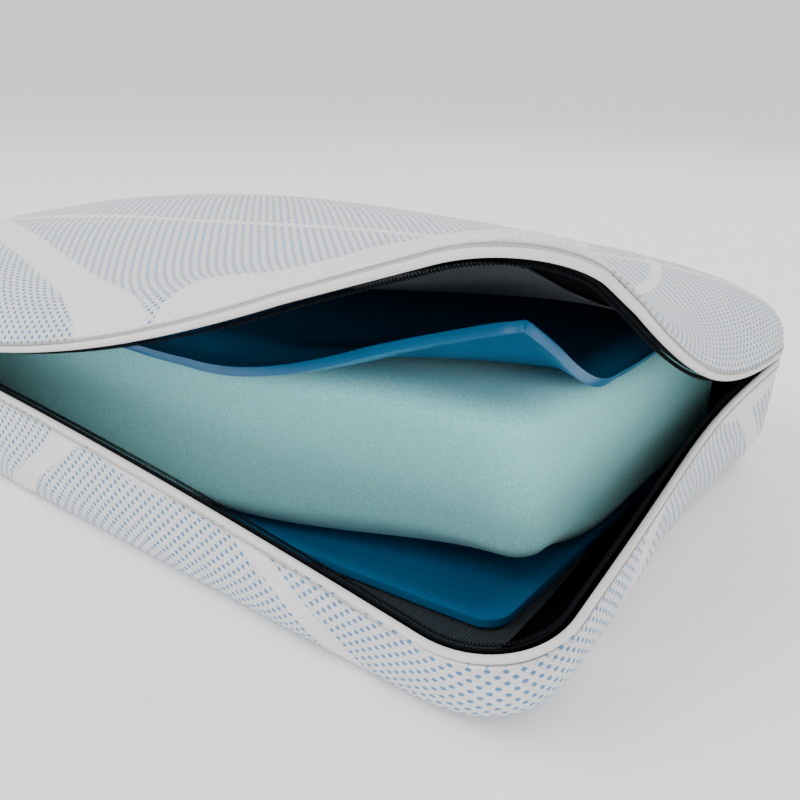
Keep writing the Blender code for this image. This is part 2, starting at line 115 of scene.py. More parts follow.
def curl(point, start, width, angle, neutral):
    # Rolls what lies beyond the start line round a cylinder, and carries on straight after it
    ahead = reachOf(point.x, point.y) - start
    if ahead <= 0:
        return point
    turn = angle * min(ahead, width) / width
    radius = width / angle
    beyond = max(0, ahead - width)
    above = point.z - neutral
    along = radius * math.sin(turn) + beyond * math.cos(angle) - above * math.sin(turn)
    moved = point + towardsCorner * (along - ahead)
    moved.z = neutral + radius * (1 - math.cos(turn)) + beyond * math.sin(angle) + above * math.cos(turn)
    return moved


def drawIn(x, y, share):
    # The ends of the pillow are drawn in a little between its corners
    end = smooth((abs(x) / pillow["halfLength"] - pillow["waistFrom"]) / (1 - pillow["waistFrom"]))
    middle = math.exp(-((y - pillow["waistMiddle"]) / pillow["waistSpan"]) ** 2)
    return x - math.copysign(pillow["waist"] * share * end * middle, x)


def upperHeight(x, y, depth, flatten=0.0):
    p = pillow
    crown = (p["crownHeight"] - p["lipOffset"]) * (1 - flatten) - depth
    crown *= swell(x, y, depth, p["upperCrown"], p["upperEdge"], p["upperRoot"])
    return p["seamHeight"] + p["lipOffset"] + crown


def upperPoint(x, y, depth):
    p = pillow
    flat = smooth((reachOf(x, y) - p["lidStart"]) / (cornerReach - p["lidStart"]))
    loose = sum(noise.noise(Vector((x * turns, y * turns, seed))) * height
                for turns, seed, height in looseness["waves"])
    ring = gauge(x, y, p["halfLength"], p["halfDepth"], p["cornerRadius"])
    fade = 1 - smooth((ring - looseness["rimFade"]) / (1 - looseness["rimFade"]))
    height = upperHeight(x, y, depth, p["lidFlatten"] * flat) + loose * fade
    lifted = curl(Vector((x, y, height)), p["lidStart"], p["lidWidth"], p["lidAngle"], lidNeutral)
    lifted.x = drawIn(lifted.x, lifted.y, p["upperWaist"])
    return lifted


def lipFall(x, y):
    ahead = (reachOf(x, y) - pillow["lipStart"]) / (cornerReach - pillow["lipStart"])
    return min(max(ahead, 0), 1) ** pillow["lipPower"]


def lowerLip(x, y, rise, height):
    fall = lipFall(x, y)
    at = Vector((x, y, height)) + towardsCorner * (pillow["lipFlare"] * fall * rise * rise)
    at.x = drawIn(at.x, at.y, pillow["lowerWaist"] + (1 - pillow["lowerWaist"]) * (1 - rise))
    return at


def pucker(x, y, height):
    # Belly and soft puckers in the wall below the lip, the same for every layer
    s = looseness
    turn = math.atan2(y, x)
    around = Vector((math.cos(turn), math.sin(turn), 0))
    belly = math.sin(min(max(height / s["wallHeight"], 0), 1) * math.pi)
    folds = noise.noise(around * s["coarseTurns"] + Vector((0, 0, s["coarseSeed"])))
    folds += s["fineShare"] * noise.noise(around * s["fineTurns"] + Vector((0, 0, height * s["fineRise"])))
    out = s["belly"] + s["cornerBelly"] * lipFall(x, y) + s["pucker"] * folds
    return Vector((x, y, 0)).normalized() * out * belly


def basePoint(x, y, depth):
    p = pillow
    lip = p["seamHeight"] - p["lipOffset"] - p["lipDrop"] * lipFall(x, y)
    rise = 1 - swell(x, y, depth, p["baseCrown"], p["baseEdge"], p["baseRoot"])
    low = depth - p["baseSink"]
    height = max(depth, low + (lip - low) * rise)
    at = lowerLip(x, y, rise, height)
    ring = gauge(x, y, p["halfLength"] - depth, p["halfDepth"] - depth, p["cornerRadius"] - depth)
    return at + pucker(x, y, at.z) * smooth((ring - looseness["wallFrom"]) / looseness["wallFade"])


# Foam core: its ends and faces bowed, squeezed by the closed part of the cover, and lifted at the open corner
foam = {
    "halfLength": 0.281, "halfDepth": 0.1505, "shiftX": -0.003, "shiftY": 0.004, "edgeRadius": 0.019,
    "swell": 2.2, "bow": 0.014, "crown": 0.024, "lift": 0.019, "lean": 0.025,
    "freeSpan": (0.080, 0.230), "liftSpan": (0.165, 0.262), "cuts": 46,
}
coreLow = layerDepth["core"]
coreHigh = pillow["seamHeight"] + pillow["crownHeight"] - layerDepth["core"]


def reachShare(x, y, span):
    return smooth((reachOf(x, y) - span[0]) / (span[1] - span[0]))


def bow(x):
    u = min(abs(x - foam["shiftX"]) / foam["halfLength"], 1)
    return 1 + foam["bow"] / foam["halfDepth"] * (1 - u * u)


def coreFaces(x, y):
    u = min(abs(x - foam["shiftX"]) / foam["halfLength"], 1)
    v = min(abs(y - foam["shiftY"]) / (foam["halfDepth"] * bow(x)), 1)
    side = 1 - (1 - u ** foam["swell"]) * (1 - v ** foam["swell"])
    lift = foam["lift"] * reachShare(x, y, foam["liftSpan"])
    high = coreHigh + (lift / 2 - foam["crown"]) * side
    squeezed = min(upperHeight(x, y, layerDepth["core"]), high)
    return coreLow + lift, squeezed + (high - squeezed) * reachShare(x, y, foam["freeSpan"])


# Materials


def node(tree, kind, *inputs, output=0, sockets=None, **settings):
    # Adds one node with its settings and inputs, which are values or what another node gave.
    # A name in capitals is a Math operation
    made = tree.nodes.new("ShaderNodeMath" if kind.isupper() else "ShaderNode" + kind)
    if kind.isupper():
        made.operation = kind
    for key, value in settings.items():
        setattr(made, key, value)
    for socket, value in [*enumerate(inputs), *(sockets or {}).items()]:
        if isinstance(value, tuple) and isinstance(value[0], bpy.types.Node):
            tree.links.new(value[0].outputs[value[1]], made.inputs[socket])
        elif value is not None:
            made.inputs[socket].default_value = value
    return made, output


softStep = {"interpolation_type": "SMOOTHSTEP"}
colourMix = {"data_type": "RGBA", "output": 2}


def startMaterial(name, **surface):
    # A material whose even values sit on the shader's own sockets, and the function that adds nodes to it
    made = bpy.data.materials.new(name)
    made.use_nodes = True
    shader = made.node_tree.nodes["Principled BSDF"]
    for socket, value in surface.items():
        shader.inputs[socket.replace("_", " ")].default_value = value
    return made, shader, partial(node, made.node_tree)


def wire(source, shader, socket):
    shader.id_data.links.new(source[0].outputs[source[1]], shader.inputs[socket])


def clothPlace(add, layer, step=(1, 1)):
    # The flat cloth coordinates along and across, in steps of the given size
    flat = add("VectorMath", add("UVMap", uv_map=layer), (1 / step[0], 1 / step[1], 1), operation="MULTIPLY")
    apart = add("SeparateXYZ", flat)[0]
    return (apart, 0), (apart, 1)


def wave(add, place, turns=1.0):
    return add("SINE", add("MULTIPLY", place, 2 * math.pi * turns))


# Polyester jersey: circular-knitted with staggered blue dots, which fade out in smooth plain bands.
# Its fine wales and the hollows at the dots give it a matt, slightly bumpy face.
knitLook = {
    "white": "eae9e9", "shade": "d9d8d8", "bandWhite": "ebeaea", "dot": "007ab4",
    "dotPitch": 0.0076, "dotSize": 0.182, "dotSoft": 0.035, "rib": 0.00235, "relief": 0.0004,
    "fleck": 0.00012, "bandEdge": 0.0014,
}
# The plain bands round the wall: base line, wave height, wave length, phase and half width
wallWaves = [(0.035, 0.060, 0.44, 1.2, 0.0095), (0.120, 0.050, 0.52, 3.4, 0.0100)]
# The plain bands of the top: lines as slope and height, then the curves that end and cross them
topSweep = {
    "inner": (-0.34, -0.1668), "outer": (-0.326, -0.189), "edge": (-0.0012, 0.0012),
    "outerEnd": (0.040, 0.043), "lensMiddle": 0.02, "lensLow": -0.085, "lensCurve": -2.6,
    "lensEnd": (0.097, 0.100), "endSlant": 0.25, "endX": -0.150, "endY": 0.16, "endBend": (0.00057, 0.00063),
    "narrowFrom": (0.218, -0.084), "narrowSlope": 0.2, "narrowCurve": 0.55, "narrowEdge": (0.0062, 0.0042),
    "slimCurve": 2.4, "slimPlaces": (0.212, 0.266), "slimEdge": (0.0052, 0.0034),
}


def wallBands(add):
    around, up = clothPlace(add, "cloth")
    soft = knitLook["bandEdge"]
    plain = 0.0
    for base, height, length, phase, half in wallWaves:
        angle = add("MULTIPLY_ADD", around, 2 * math.pi / length, phase)
        middle = add("MULTIPLY_ADD", add("SINE", angle), height, base)
        gap = add("ABSOLUTE", add("SUBTRACT", up, middle))
        plain = add("MAXIMUM", plain, add("MapRange", gap, half + soft, half - soft, **softStep))
    return plain


def topBands(add):
    # One broad plain sweep along the front lip, a narrow one across the top and slim ones at the end
    t = topSweep
    x, y = clothPlace(add, "plan")
    inner = add("SUBTRACT", add("MULTIPLY_ADD", x, *t["inner"]), y)
    outer = add("SUBTRACT", y, add("MULTIPLY_ADD", x, *t["outer"]))
    middle = add("MAXIMUM", add("ADD", y, t["lensMiddle"]), t["lensLow"])
    lens = add("MULTIPLY_ADD", add("MULTIPLY", middle, middle), t["lensCurve"], x)
    inside = add("MAXIMUM", add("MapRange", inner, *t["edge"], **softStep),
                 add("MapRange", lens, *t["lensEnd"], **softStep))
    outside = add("MAXIMUM", add("MapRange", outer, *t["edge"], **softStep),
                  add("MapRange", x, *t["outerEnd"], **softStep))
    across = add("MAXIMUM", add("ADD", add("MULTIPLY_ADD", y, t["endSlant"], x), t["endX"]), 0.0)
    along = add("MAXIMUM", add("ADD", y, t["endY"]), 0.0)
    end = add("MapRange", add("MULTIPLY", across, along), *t["endBend"], **softStep)
    plain = add("MULTIPLY", add("MULTIPLY", inside, outside), add("SUBTRACT", 1.0, end))
    u = add("ADD", x, t["narrowFrom"][0])
    rise = add("MULTIPLY", u, add("MULTIPLY_ADD", u, t["narrowCurve"], t["narrowSlope"]))
    slim = add("MULTIPLY_ADD", add("MULTIPLY", y, y), t["slimCurve"], x)
    lines = [(add("SUBTRACT", y, rise), t["narrowFrom"][1], t["narrowEdge"])]
    lines += [(slim, place, t["slimEdge"]) for place in t["slimPlaces"]]
    for line, place, edge in lines:
        gap = add("ABSOLUTE", add("SUBTRACT", line, place))
        plain = add("MAXIMUM", plain, add("MapRange", gap, *edge, **softStep))
    return plain


def dotDistance(add, x, y):
    # Distance to the nearest dot of a staggered lattice, which is two square ones half a step apart
    nearest = 1.0
    for half in (0.0, 0.5):
        cells = []
        for place in (x, y):
            cell = add("FRACT", add("MULTIPLY_ADD", place, 1 / knitLook["dotPitch"], half + 100))
            cell = add("SUBTRACT", cell, 0.5)
            cells.append(add("MULTIPLY", cell, cell))
        nearest = add("MINIMUM", nearest, add("SQRT", add("ADD", *cells)))
    return nearest


def knitMaterial(name, bands):
    look = knitLook
    made, shader, add = startMaterial(name, Roughness=0.88, Sheen_Weight=0.05, Sheen_Roughness=0.5,
                                      Specular_IOR_Level=0.25)
    uv = add("UVMap", uv_map="cloth")
    x, y = clothPlace(add, "cloth")
    plain = bands(add)
    nearest = dotDistance(add, x, y)
    size, soft = look["dotSize"], look["dotSoft"]
    dots = add("MULTIPLY", add("MapRange", nearest, size + soft, size - soft, **softStep),
               add("SUBTRACT", 1.0, plain))
    fleck = add("TexNoise", uv, None, 900.0, 2.0)
    cloud = add("TexNoise", uv, None, 14.0, 3.0)
    ground = add("Mix", add("MULTIPLY", cloud, 0.6), sockets={6: dye(look["white"]), 7: dye(look["shade"])},
                 **colourMix)
    ground = add("Mix", add("MULTIPLY", plain, 0.6), sockets={6: ground, 7: dye(look["bandWhite"])},
                 **colourMix)
    tint = add("MULTIPLY", add("MULTIPLY_ADD", fleck, 0.4, 0.68), dots, use_clamp=True)
    wire(add("Mix", tint, sockets={6: ground, 7: dye(look["dot"])}, **colourMix), shader, "Base Color")
    # relief: fine wales and courses, raised between the dots and smoother in the bands
    wales = add("MULTIPLY", wave(add, x, 1 / look["rib"]), wave(add, y, 1 / (look["rib"] * 1.2)))
    wales = add("MULTIPLY", wales, add("SUBTRACT", 1.0, add("MULTIPLY", plain, 0.55)))
    raised = add("MULTIPLY_ADD", add("MapRange", nearest, 0.12, 0.5, **softStep), 1.6, wales)
    first = add("Bump", sockets={"Strength": 0.8, "Distance": look["relief"], "Height": raised})
    wire(add("Bump", sockets={"Strength": 0.5, "Distance": look["fleck"], "Height": fleck, "Normal": first}),
         shader, "Normal")
    return made


# Cotton binding over the piping cord: a plain weave, dull and off-white, its fine rib running round the cord
bindingLook = {"cloth": "e4e2df", "shade": "c9c6c1", "rib": 0.0009}


def bindingMaterial():
    made, shader, add = startMaterial("cotton binding", Roughness=0.82, Sheen_Weight=0.2,
                                      Specular_IOR_Level=0.25)
    rib = wave(add, clothPlace(add, "cloth", (bindingLook["rib"], 0.004))[0])
    grain = add("TexNoise", add("TexCoord", output=3), None, 600.0, 2.0)
    colours = {6: dye(bindingLook["cloth"]), 7: dye(bindingLook["shade"])}
    wire(add("Mix", add("MULTIPLY_ADD", rib, 0.25, 0.3), sockets=colours, **colourMix), shader, "Base Color")
    ribs = add("Bump", sockets={"Strength": 0.5, "Distance": 0.00008, "Height": rib})
    wire(add("Bump", sockets={"Strength": 0.5, "Distance": 0.0001, "Height": grain, "Normal": ribs}),
         shader, "Normal")
    return made


# Black nylon tricot of the lining: warp-knitted close and dyed black, with hardly any shine
liningLook = {"cloth": "040507", "shade": "090a10", "rib": 0.0007}


def liningMaterial():
    made, shader, add = startMaterial("black tricot", Roughness=0.95, Specular_IOR_Level=0.04)
    x, y = clothPlace(add, "cloth", (liningLook["rib"], liningLook["rib"] * 1.4))
    weave = add("MULTIPLY", wave(add, x), wave(add, y))
    colours = {6: dye(liningLook["cloth"]), 7: dye(liningLook["shade"])}
    wire(add("Mix", add("MULTIPLY_ADD", weave, 0.5, 0.5), sockets=colours, **colourMix), shader, "Base Color")
    wire(add("Bump", sockets={"Strength": 0.5, "Distance": 0.0001, "Height": weave}), shader, "Normal")
    return made


# Polyester spacer mesh: warp-knitted in fine grey ribs, with rows of small open holes between them
meshLook = {"yarn": "353c42", "hole": "090b0d", "ribPitch": 0.0022, "holePitch": 0.0018}


def meshMaterial():
    made, shader, add = startMaterial("grey spacer mesh", Roughness=0.68, Specular_IOR_Level=0.35)
    x, y = clothPlace(add, "cloth", (meshLook["ribPitch"], meshLook["holePitch"]))
    rib = wave(add, x)
    stagger = add("MULTIPLY", add("FLOOR", x), math.pi)
    row = add("SINE", add("MULTIPLY_ADD", y, 2 * math.pi, stagger))
    holes = add("MULTIPLY", add("MapRange", rib, 0.1, -0.7, **softStep),
                add("MapRange", row, 0.6, -0.5, **softStep))
    colours = {6: dye(meshLook["yarn"]), 7: dye(meshLook["hole"])}
    wire(add("Mix", holes, sockets=colours, **colourMix), shader, "Base Color")
    height = add("SUBTRACT", add("MULTIPLY", rib, 0.5), holes)
    wire(add("Bump", sockets={"Strength": 0.8, "Distance": 0.0005, "Height": height}), shader, "Normal")
    return made


# Polyurethane cooling gel: cast in a slab, deep blue and glossy, with a painted highlight that lightens its
# thin rim
gelLook = {"deep": "054468", "castAndRimHighlight": "126f9f"}


def gelMaterial():
    made, shader, add = startMaterial("blue cooling gel", Roughness=0.2, Coat_Weight=0.12, Coat_Roughness=0.1,
                                      Specular_IOR_Level=0.3, IOR=1.42, Subsurface_Weight=0.1,
                                      Subsurface_Scale=0.003)
    place = add("TexCoord", output=3)
    cast = add("TexNoise", place, None, 16.0, 3.0)
    fine = add("TexNoise", place, None, 140.0, 2.0)
    rim = add("Attribute", attribute_name="rim", output=2)
    # the lighter blue comes from random cast cloudiness plus a painted highlight along the pad's rim, read
    # from the rim attribute
    castAndRimHighlight = add("MULTIPLY_ADD", cast, 0.6, add("MULTIPLY", rim, 0.35), use_clamp=True)
    colours = {6: dye(gelLook["deep"]), 7: dye(gelLook["castAndRimHighlight"])}
    wire(add("Mix", castAndRimHighlight, sockets=colours, **colourMix), shader, "Base Color")
    wire(add("MULTIPLY_ADD", fine, 0.14, 0.24), shader, "Roughness")
    ripple = add("Bump", sockets={"Strength": 0.35, "Distance": 0.0022, "Height": cast})
    wire(add("Bump", sockets={"Strength": 0.35, "Distance": 0.0003, "Height": fine, "Normal": ripple}),
         shader, "Normal")
    return made


# Open-cell memory foam: moulded and skinned thinly, pale teal with a fine speckle of cells, quite matt
foamLook = {"pale": "9be1e3", "teal": "7dcdd2", "cell": "5fb6bc"}


def foamMaterial():
    made, shader, add = startMaterial("memory foam", Roughness=0.93, Subsurface_Weight=0.2,
                                      Subsurface_Scale=0.006, Specular_IOR_Level=0.12, Sheen_Weight=0.12)
    place = add("TexCoord", output=3)
    cloud = add("TexNoise", place, None, 60.0, 4.0)
    speck = add("TexNoise", place, None, 900.0, 2.0)
    cells = add("TexVoronoi", place, sockets={"Scale": 1100.0})
    pale = dye(foamLook["pale"])
    colour = add("Mix", add("MapRange", speck, 0.3, 0.72, **softStep),
                 sockets={6: pale, 7: dye(foamLook["teal"])}, **colourMix)
    colour = add("Mix", add("MULTIPLY", add("MapRange", cells, 0.28, 0.06, **softStep), 0.5),
                 sockets={6: colour, 7: dye(foamLook["cell"])}, **colourMix)
    colour = add("Mix", add("MULTIPLY", cloud, 0.25), sockets={6: colour, 7: pale}, **colourMix)
    wire(colour, shader, "Base Color")
    grain = add("Bump", sockets={"Strength": 0.5, "Distance": 0.0006, "Height": speck})
    wire(add("Bump", sockets={"Strength": 0.4, "Distance": 0.0004, "Height": cells, "Normal": grain}),
         shader, "Normal")
    return made


# Woven nylon of the zip, and the dark plated zinc of its slider, die-cast and rubbed brighter in places
zipLook = {"nylon": "0d0e11", "thread": "1c1e23", "rib": 0.0008, "metal": "5b5d61", "worn": "8d8f93"}


def nylonMaterial():
    made, shader, add = startMaterial("zip nylon", Roughness=0.75, Specular_IOR_Level=0.08)
    x, y = clothPlace(add, "cloth", (zipLook["rib"], zipLook["rib"]))
    rib = wave(add, add("ADD", x, y))
    colours = {6: dye(zipLook["nylon"]), 7: dye(zipLook["thread"])}
    wire(add("Mix", add("MULTIPLY_ADD", rib, 0.5, 0.5), sockets=colours, **colourMix), shader, "Base Color")
    wire(add("Bump", sockets={"Strength": 0.6, "Distance": 0.00012, "Height": rib}), shader, "Normal")
    return made


def metalMaterial():
    made, shader, add = startMaterial("plated zinc", Metallic=1.0, Roughness=0.3)
    scuff = add("TexNoise", add("TexCoord", output=3), None, 900.0, 4.0)
    colours = {6: dye(zipLook["metal"]), 7: dye(zipLook["worn"])}
    wire(add("Mix", scuff, sockets=colours, **colourMix), shader, "Base Color")
    wire(add("MULTIPLY_ADD", scuff, 0.25, 0.2), shader, "Roughness")
    wire(add("Bump", sockets={"Strength": 0.3, "Distance": 0.00006, "Height": scuff}), shader, "Normal")
    return made


# Blank satin ribbon of the care label, woven with a fine rib and a soft shine, and twisted sewing thread
ribbonLook = {"cloth": "e9e8e4", "thread": "b9b6b0", "ply": "8f8c87", "rib": 0.0006}


def ribbonMaterial():
    made, shader, add = startMaterial("satin ribbon", Roughness=0.5, Sheen_Weight=0.3)
    rib = wave(add, add("SeparateXYZ", add("TexCoord", output=3)), 1 / ribbonLook["rib"])
    colours = {6: dye(ribbonLook["cloth"]), 7: dye(ribbonLook["thread"])}
    wire(add("Mix", add("MULTIPLY_ADD", rib, 0.3, 0.3), sockets=colours, **colourMix), shader, "Base Color")
    wire(add("Bump", sockets={"Strength": 0.5, "Distance": 0.00005, "Height": rib}), shader, "Normal")
    return made


def threadMaterial():
    made, shader, add = startMaterial("sewing thread", Roughness=0.6, Sheen_Weight=0.2)
    twist = add("TexWave", add("TexCoord", output=3), 900.0, output=1)
    colours = {6: dye(ribbonLook["thread"]), 7: dye(ribbonLook["ply"])}
    wire(add("Mix", twist, sockets=colours, **colourMix), shader, "Base Color")
    wire(add("Bump", sockets={"Strength": 0.5, "Distance": 0.00005, "Height": twist}), shader, "Normal")
    return made


knitUpper = knitMaterial("dotted jersey knit", topBands)
knitLower = knitMaterial("dotted jersey wall", wallBands)
binding = bindingMaterial()
tricot = liningMaterial()
spacer = meshMaterial()
gel = gelMaterial()
memoryFoam = foamMaterial()
nylon = nylonMaterial()
plated = metalMaterial()
ribbon = ribbonMaterial()
thread = threadMaterial()
print("materials made")


# Sheets


def finishMesh(shape, name, material, smoothed=True):
    mesh = bpy.data.meshes.new(name)
    shape.to_mesh(mesh)
    shape.free()
    mesh.materials.append(material)
    if smoothed:
        mesh.shade_smooth()
    made = bpy.data.objects.new(name, mesh)
    bpy.context.scene.collection.objects.link(made)
    return made


def thicken(piece, thickness, offset=-1):
    skin = piece.modifiers.new("thickness", "SOLIDIFY")
    skin.thickness = thickness
    skin.offset = offset
    return piece


def planGrid(halfL, halfD, radius, cells, shift=None):
    # A flat grid with a rounded outline, finer towards its edges
    shape = bmesh.new()
    bmesh.ops.create_grid(shape, x_segments=cells[0], y_segments=cells[1], size=1)
    for vertex in shape.verts:
        u = math.sin(vertex.co.x * math.pi / 2)
        v = math.sin(vertex.co.y * math.pi / 2)
        ring = max(abs(u), abs(v))
        x, y = u * halfL, v * halfD
        scale = ring / gauge(x, y, halfL, halfD, radius) if ring > 0 else 0
        vertex.co = (x * scale, y * scale, 0)
        if shift:
            across = x * scale + shift[0]
            vertex.co = (across, y * scale * bow(across) + shift[1], 0)
    return shape


outlineLength = 4 * (pillow["halfLength"] + pillow["halfDepth"]) - (8 - 2 * math.pi) * pillow["cornerRadius"]
# How the knit's pattern lies: the cloth that the shoulder takes up, and where the wall's own pattern starts
clothFlow = {"cornerPower": 7, "shoulderFrom": 0.3, "shoulderSpan": 0.6, "takeUp": 0.85, "wallFrom": 0.955}


def perimeterPlace(x, y):
    # How far round the outline a point lies, in metres, counted from the middle of the right end
    p = pillow
    ring = gauge(x, y, p["halfLength"], p["halfDepth"], p["cornerRadius"])
    px, py = abs(x) / ring, abs(y) / ring
    radius = p["cornerRadius"]
    flatX, flatY = p["halfLength"] - radius, p["halfDepth"] - radius
    quarter = outlineLength / 4
    if py <= flatY:
        place = py
    elif px <= flatX:
        place = quarter - px
    else:
        place = flatY + radius * math.atan2(py - flatY, px - flatX)
    if x < 0:
        place = 2 * quarter - place
    return -place if y < 0 else place


def alongCloth(x, y):
    # Plan position moved outwards by the length of cloth that the shoulder takes up
    p = pillow
    raised = swell(x, y, 0, p["upperCrown"], p["upperEdge"], p["upperRoot"])
    drop = (p["crownHeight"] - p["lipOffset"]) * (1 - raised)
    power = clothFlow["cornerPower"]
    out = Vector(((x / p["halfLength"]) ** power, (y / p["halfDepth"]) ** power))
    if out.length < 1e-9:
        return x, y
    out.normalize()
    ring = gauge(x, y, p["halfLength"], p["halfDepth"], p["cornerRadius"])
    share = smooth((ring - clothFlow["shoulderFrom"]) / clothFlow["shoulderSpan"])
    moved = drop * share * clothFlow["takeUp"]
    return x + out.x * moved, y + out.y * moved


def mapCloth(shape, flat, wall):
    # Flat cloth coordinates: plan distance stretched to the cloth's own length, or round and down a wall
    layer = shape.loops.layers.uv.new("cloth")
    cut = shape.loops.layers.uv.new("plan")
    for face in shape.faces:
        middle = sum((flat[v] for v in face.verts), Vector()) / len(face.verts)
        middleTurn = perimeterPlace(middle.x, middle.y)
        ring = gauge(middle.x, middle.y, pillow["halfLength"], pillow["halfDepth"], pillow["cornerRadius"])
        for loop in face.loops:
            at = flat[loop.vert]
            loop[cut].uv = (at.x, at.y)
            if wall and ring > clothFlow["wallFrom"]:
                around = perimeterPlace(at.x, at.y)
                around += outlineLength * round((middleTurn - around) / outlineLength)
                loop[layer].uv = (around, loop.vert.co.z)
            else:
                loop[layer].uv = alongCloth(at.x, at.y) if not wall else (at.x, at.y)


def clothSheet(name, material, flat, place, thickness, side=1, wall=False):
    plan = {vertex: vertex.co.copy() for vertex in flat.verts}
    for vertex in flat.verts:
        vertex.co = place(vertex.co.x, vertex.co.y)
    mapCloth(flat, plan, wall)
    if side < 0:
        bmesh.ops.reverse_faces(flat, faces=flat.faces[:])
    return thicken(finishMesh(flat, name, material), thickness)


def swingWithLid(piece):
    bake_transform(piece)


coverLook = {"cells": (190, 130), "knit": 0.002, "flatRatio": 1.5, "seamShare": 1.03}


def coverSize(depth, least=0.024):
    p = pillow
    return p["halfLength"] - depth, p["halfDepth"] - depth, max(p["cornerRadius"] - depth, least)


coverUpper = clothSheet("knit_cover_upper", knitUpper, planGrid(*coverSize(0), coverLook["cells"]),
                        lambda x, y: upperPoint(x, y, 0), coverLook["knit"])
swingWithLid(coverUpper)
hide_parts("cover_upper", "cover_upper_bend", "cover_upper_lid")
coverLower = clothSheet("knit_cover_lower", knitLower, planGrid(*coverSize(0), coverLook["cells"]),
                        lambda x, y: basePoint(x, y, 0), coverLook["knit"], side=-1, wall=True)
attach(coverLower, "pillow")
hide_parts("cover_base")
print("knit cover made")

liningSizes = {"cells": (120, 84), "thick": 0.001, "meshMargin": 0.032, "meshThick": 0.0012}
depth = layerDepth["lining"]
liningUpper = clothSheet("lining_upper_sheet", tricot, planGrid(*coverSize(depth), liningSizes["cells"]),
                         lambda x, y: upperPoint(x, y, layerDepth["lining"]), liningSizes["thick"])
swingWithLid(liningUpper)
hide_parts("lining_upper", "lining_upper_bend", "lining_upper_lid")
liningLower = clothSheet("lining_lower_sheet", tricot, planGrid(*coverSize(depth), liningSizes["cells"]),
                         lambda x, y: basePoint(x, y, layerDepth["lining"]), liningSizes["thick"], side=-1)
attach(liningLower, "pillow")
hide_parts("lining_base")

depth = layerDepth["mesh"] + liningSizes["meshMargin"]
meshUpper = clothSheet("mesh_upper_sheet", spacer, planGrid(*coverSize(depth), liningSizes["cells"]),
                       lambda x, y: upperPoint(x, y, layerDepth["mesh"]), liningSizes["meshThick"])
swingWithLid(meshUpper)
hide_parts("mesh_panel_upper", "mesh_panel_upper_bend", "mesh_panel_upper_lid")
meshLower = clothSheet("mesh_lower_sheet", spacer, planGrid(*coverSize(depth), liningSizes["cells"]),
                       lambda x, y: basePoint(x, y, layerDepth["mesh"]), liningSizes["meshThick"], side=-1)
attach(meshLower, "pillow")
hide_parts("mesh_panel_base")
print("lining and mesh made")

# Gel pads: slabs with a soft round rim, the upper one curled up at the open corner
gelSizes = {
    "thick": 0.005, "upperMargin": 0.008, "lowerMargin": -0.006, "endMargin": 0.002, "radius": 0.014,
    "cells": (150, 100), "gap": 0.0025, "start": 0.186, "width": 0.060, "angle": math.radians(42),
    "droop": 0.0095, "droopIn": 0.004, "droopOut": 0.006, "rimHighlightFrom": 0.94, "rimRound": 0.0021,
    "rimSteps": 3, "rimAngle": math.radians(50),
}


def droop(x, y):
    # How far the upper pad hangs down over the rounded edge of the core
    g, edge = gelSizes, foam["edgeRadius"]
    inside = min(foam["halfLength"] - abs(x - foam["shiftX"]),
                 foam["halfDepth"] * bow(x) - abs(y - foam["shiftY"]))
    return g["droop"] * smooth((edge - g["droopIn"] - inside) / (edge + g["droopOut"]))


def gelPlace(x, y):
    g = gelSizes
    flat = Vector((x, y, coreFaces(x, y)[1] + g["gap"] + g["thick"] - droop(x, y)))
    return curl(flat, g["start"], g["width"], g["angle"], coreHigh)


def gelPad(name, place, margin, side):
    g = gelSizes
    size = (foam["halfLength"] + min(margin, g["endMargin"]), foam["halfDepth"] + margin)
    shift = (foam["shiftX"], foam["shiftY"])
    shape = planGrid(*size, g["radius"], g["cells"], shift)
    rims = [gauge(v.co.x - shift[0], (v.co.y - shift[1]) / bow(v.co.x), *size, g["radius"])
            for v in shape.verts]
    for vertex in shape.verts:
        vertex.co = place(vertex.co.x, vertex.co.y)
    if side < 0:
        bmesh.ops.reverse_faces(shape, faces=shape.faces[:])
    # the rim attribute masks the band along the pad's edge where the gel material paints a highlight
    layer = shape.verts.layers.float.new("rim")
    for vertex, rim in zip(shape.verts, rims):
        vertex[layer] = smooth((rim - g["rimHighlightFrom"]) / (1 - g["rimHighlightFrom"]))
    made = thicken(finishMesh(shape, name, gel), g["thick"])
    soft = made.modifiers.new("soft rim", "BEVEL")
    soft.width = g["rimRound"]
    soft.segments = g["rimSteps"]
    soft.limit_method = "ANGLE"
    soft.angle_limit = g["rimAngle"]
    return made


gelUpper = gelPad("gel_pad_upper_slab", gelPlace, gelSizes["upperMargin"], 1)
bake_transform(gelUpper)
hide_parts("gel_pad_upper", "gel_pad_upper_bend", "gel_pad_upper_lid")
gelLower = gelPad("gel_pad_lower_slab", lambda x, y: Vector((x, y, layerDepth["gel"])),
                  gelSizes["lowerMargin"], -1)
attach(gelLower, "pillow")
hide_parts("gel_pad_base")
print("gel pads made")


def foamCore():
    shape = bmesh.new()
    bmesh.ops.create_cube(shape, size=2)
    bmesh.ops.subdivide_edges(shape, edges=shape.edges[:], cuts=foam["cuts"], use_grid_fill=True)
    half = Vector((foam["halfLength"], foam["halfDepth"], (coreHigh - coreLow) / 2))
    edge = foam["edgeRadius"]
    for vertex in shape.verts:
        spread = Vector([math.sin(part * math.pi / 2) * size for part, size in zip(vertex.co, half)])
        held = Vector([min(max(part, edge - size), size - edge) for part, size in zip(spread, half)])
        point = held + (spread - held).normalized() * edge
        point.x += foam["shiftX"]
        point.y = foam["shiftY"] + point.y * bow(point.x)
        low, high = coreFaces(point.x, point.y)
        above = (point.z / half.z + 1) / 2
        lean = foam["lean"] * reachShare(point.x, point.y, foam["liftSpan"])
        point.y += lean * (1 - above) * (1 - point.y / half.y) / 2
        point.z = low + above * (high - low)
        vertex.co = point
    return finishMesh(shape, "foam_core_block", memoryFoam)


core = foamCore()
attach(core, "pillow")
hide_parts("foam_core")
print("foam core made")


# Cords and tapes along the two lips


